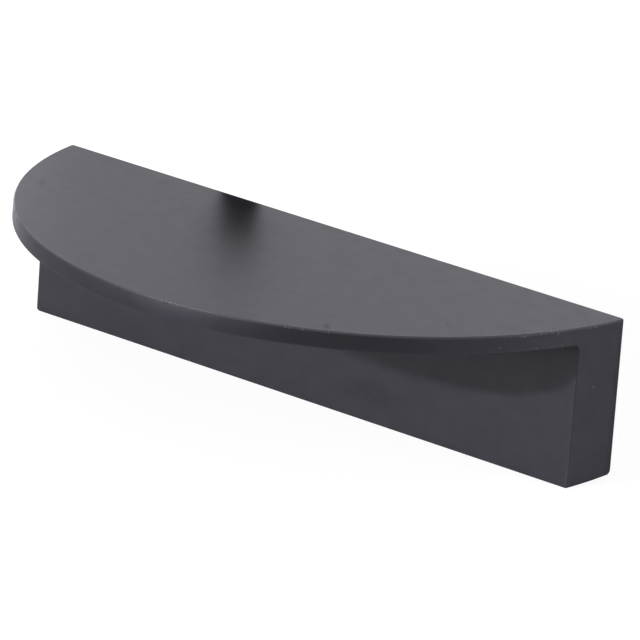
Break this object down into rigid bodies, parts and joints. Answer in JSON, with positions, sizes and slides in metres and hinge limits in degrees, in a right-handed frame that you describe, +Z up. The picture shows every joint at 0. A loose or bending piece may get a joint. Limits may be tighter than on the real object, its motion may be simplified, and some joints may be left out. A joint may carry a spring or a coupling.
{
  "type": "pull handle",
  "caption": "Half-moon edge pull: a thick upright back plate with a thin D-shaped finger flange along its top, in one piece of coated metal.",
  "frame": {"origin": "midway between the two screw holes, on the back face, at half the plate's height", "axes": "+X along the pull, +Y out of the back face into the furniture, +Z up; the flange reaches towards -Y"},
  "size_m": [0.0998, 0.0438, 0.0234],
  "materials": {
    "coated_metal": "satin",
    "bare_thread": "satin"
  },
  "bodies": {
    "root": {"pull_body": "coated_metal"}
  },
  "joints": []
}
